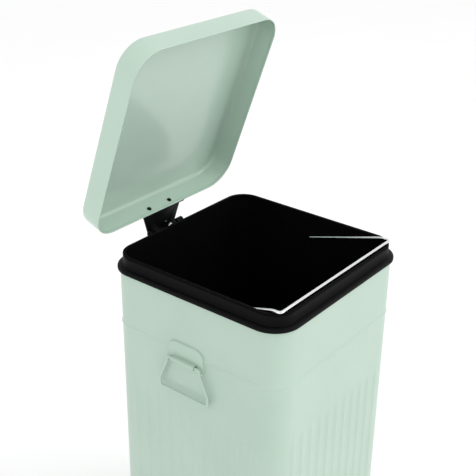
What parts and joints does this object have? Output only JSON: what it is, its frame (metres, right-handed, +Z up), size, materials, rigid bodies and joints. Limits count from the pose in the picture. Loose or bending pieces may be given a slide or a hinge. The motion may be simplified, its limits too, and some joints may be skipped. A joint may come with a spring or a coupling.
{
  "type": "pedal trash can",
  "caption": "Square step-on bin with a fluted steel body, hinged lid opened by a pedal and push rod, lift-out bucket with a wire bail, and drop handles.",
  "frame": {"origin": "centre of the underside of the base, on the floor", "axes": "+Z up, -Y the front with the pedal, +Y the hinge side, +X the right side seen from the front"},
  "size_m": [0.3132, 0.4041, 0.895],
  "materials": {
    "paint": "semi-gloss mint powder coat",
    "black_plastic": "satin moulded black",
    "bright_steel": "bright zinc plated wire",
    "black_steel": "black coated steel",
    "rubber": "matt rubber"
  },
  "bodies": {
    "frame": {"outer_body": "paint", "top_collar": "black_plastic", "base_ring": "black_plastic", "lever_housing": "black_plastic", "base_plate": "black_plastic", "rubber_foot_1": "rubber", "rubber_foot_2": "rubber", "rubber_foot_3": "rubber", "rubber_foot_4": "rubber", "hinge_base": "black_steel", "hinge_base_screw_1": "bright_steel", "hinge_base_screw_2": "bright_steel", "hinge_base_screw_3": "bright_steel", "hinge_base_screw_4": "bright_steel", "lid_damper": "black_plastic", "rod_cover": "paint", "cover_screw_1": "bright_steel", "cover_screw_2": "bright_steel", "cover_screw_3": "bright_steel", "cover_screw_4": "bright_steel", "rod_guide": "black_plastic", "pivot_bracket": "bright_steel", "pivot_pin": "bright_steel", "pin_clip": "bright_steel", "handle_plate_left": "paint", "handle_plate_right": "paint"},
    "lid": {"lid_shell": "paint", "lid_bracket": "black_steel", "lid_screw_1": "black_steel", "lid_screw_2": "black_steel", "hinge_pin": "black_steel"},
    "rod": {"push_rod": "bright_steel"},
    "pedal": {"pedal_lever": "black_steel", "pedal_pad": "black_plastic"},
    "bucket": {"inner_bucket": "black_plastic"},
    "bucket_handle": {"bucket_bail": "bright_steel"},
    "left_handle": {"handle_bail_left": "paint"},
    "right_handle": {"handle_bail_right": "paint"}
  },
  "joints": [
    {"name": "lid_hinge", "type": "hinge", "parent": "frame", "child": "lid", "pos_m": [0, 0.179, 0.5724], "axis": [-1, 0, 0], "range_deg": [-70, 0]},
    {"name": "push_rod_slide", "type": "slide", "parent": "frame", "child": "rod", "axis": [0, 0, 1], "range_m": [-0.0183, 0]},
    {"name": "pedal_pivot", "type": "hinge", "parent": "frame", "child": "pedal", "pos_m": [0, 0.038, 0.022], "axis": [1, 0, 0], "range_deg": [-8.2, 0]},
    {"name": "bucket_lift", "type": "slide", "parent": "frame", "child": "bucket", "axis": [0, 0, 1], "range_m": [0, 0.095]},
    {"name": "bucket_bail_swing", "type": "hinge", "parent": "bucket", "child": "bucket_handle", "pos_m": [0, 0, 0.562], "axis": [-1, 0, 0], "range_deg": [0, 140]},
    {"name": "left_handle_swing", "type": "hinge", "parent": "frame", "child": "left_handle", "pos_m": [-0.153, 0.006, 0.478], "axis": [0, 1, 0], "range_deg": [0, 170]},
    {"name": "right_handle_swing", "type": "hinge", "parent": "frame", "child": "right_handle", "pos_m": [0.153, 0.006, 0.478], "axis": [0, -1, 0], "range_deg": [0, 170]}
  ],
  "couplings": [
    {"joint": "push_rod_slide", "follows": "lid_hinge", "m_per_rad": 0.0149},
    {"joint": "pedal_pivot", "follows": "lid_hinge", "ratio": 0.1166}
  ]
}
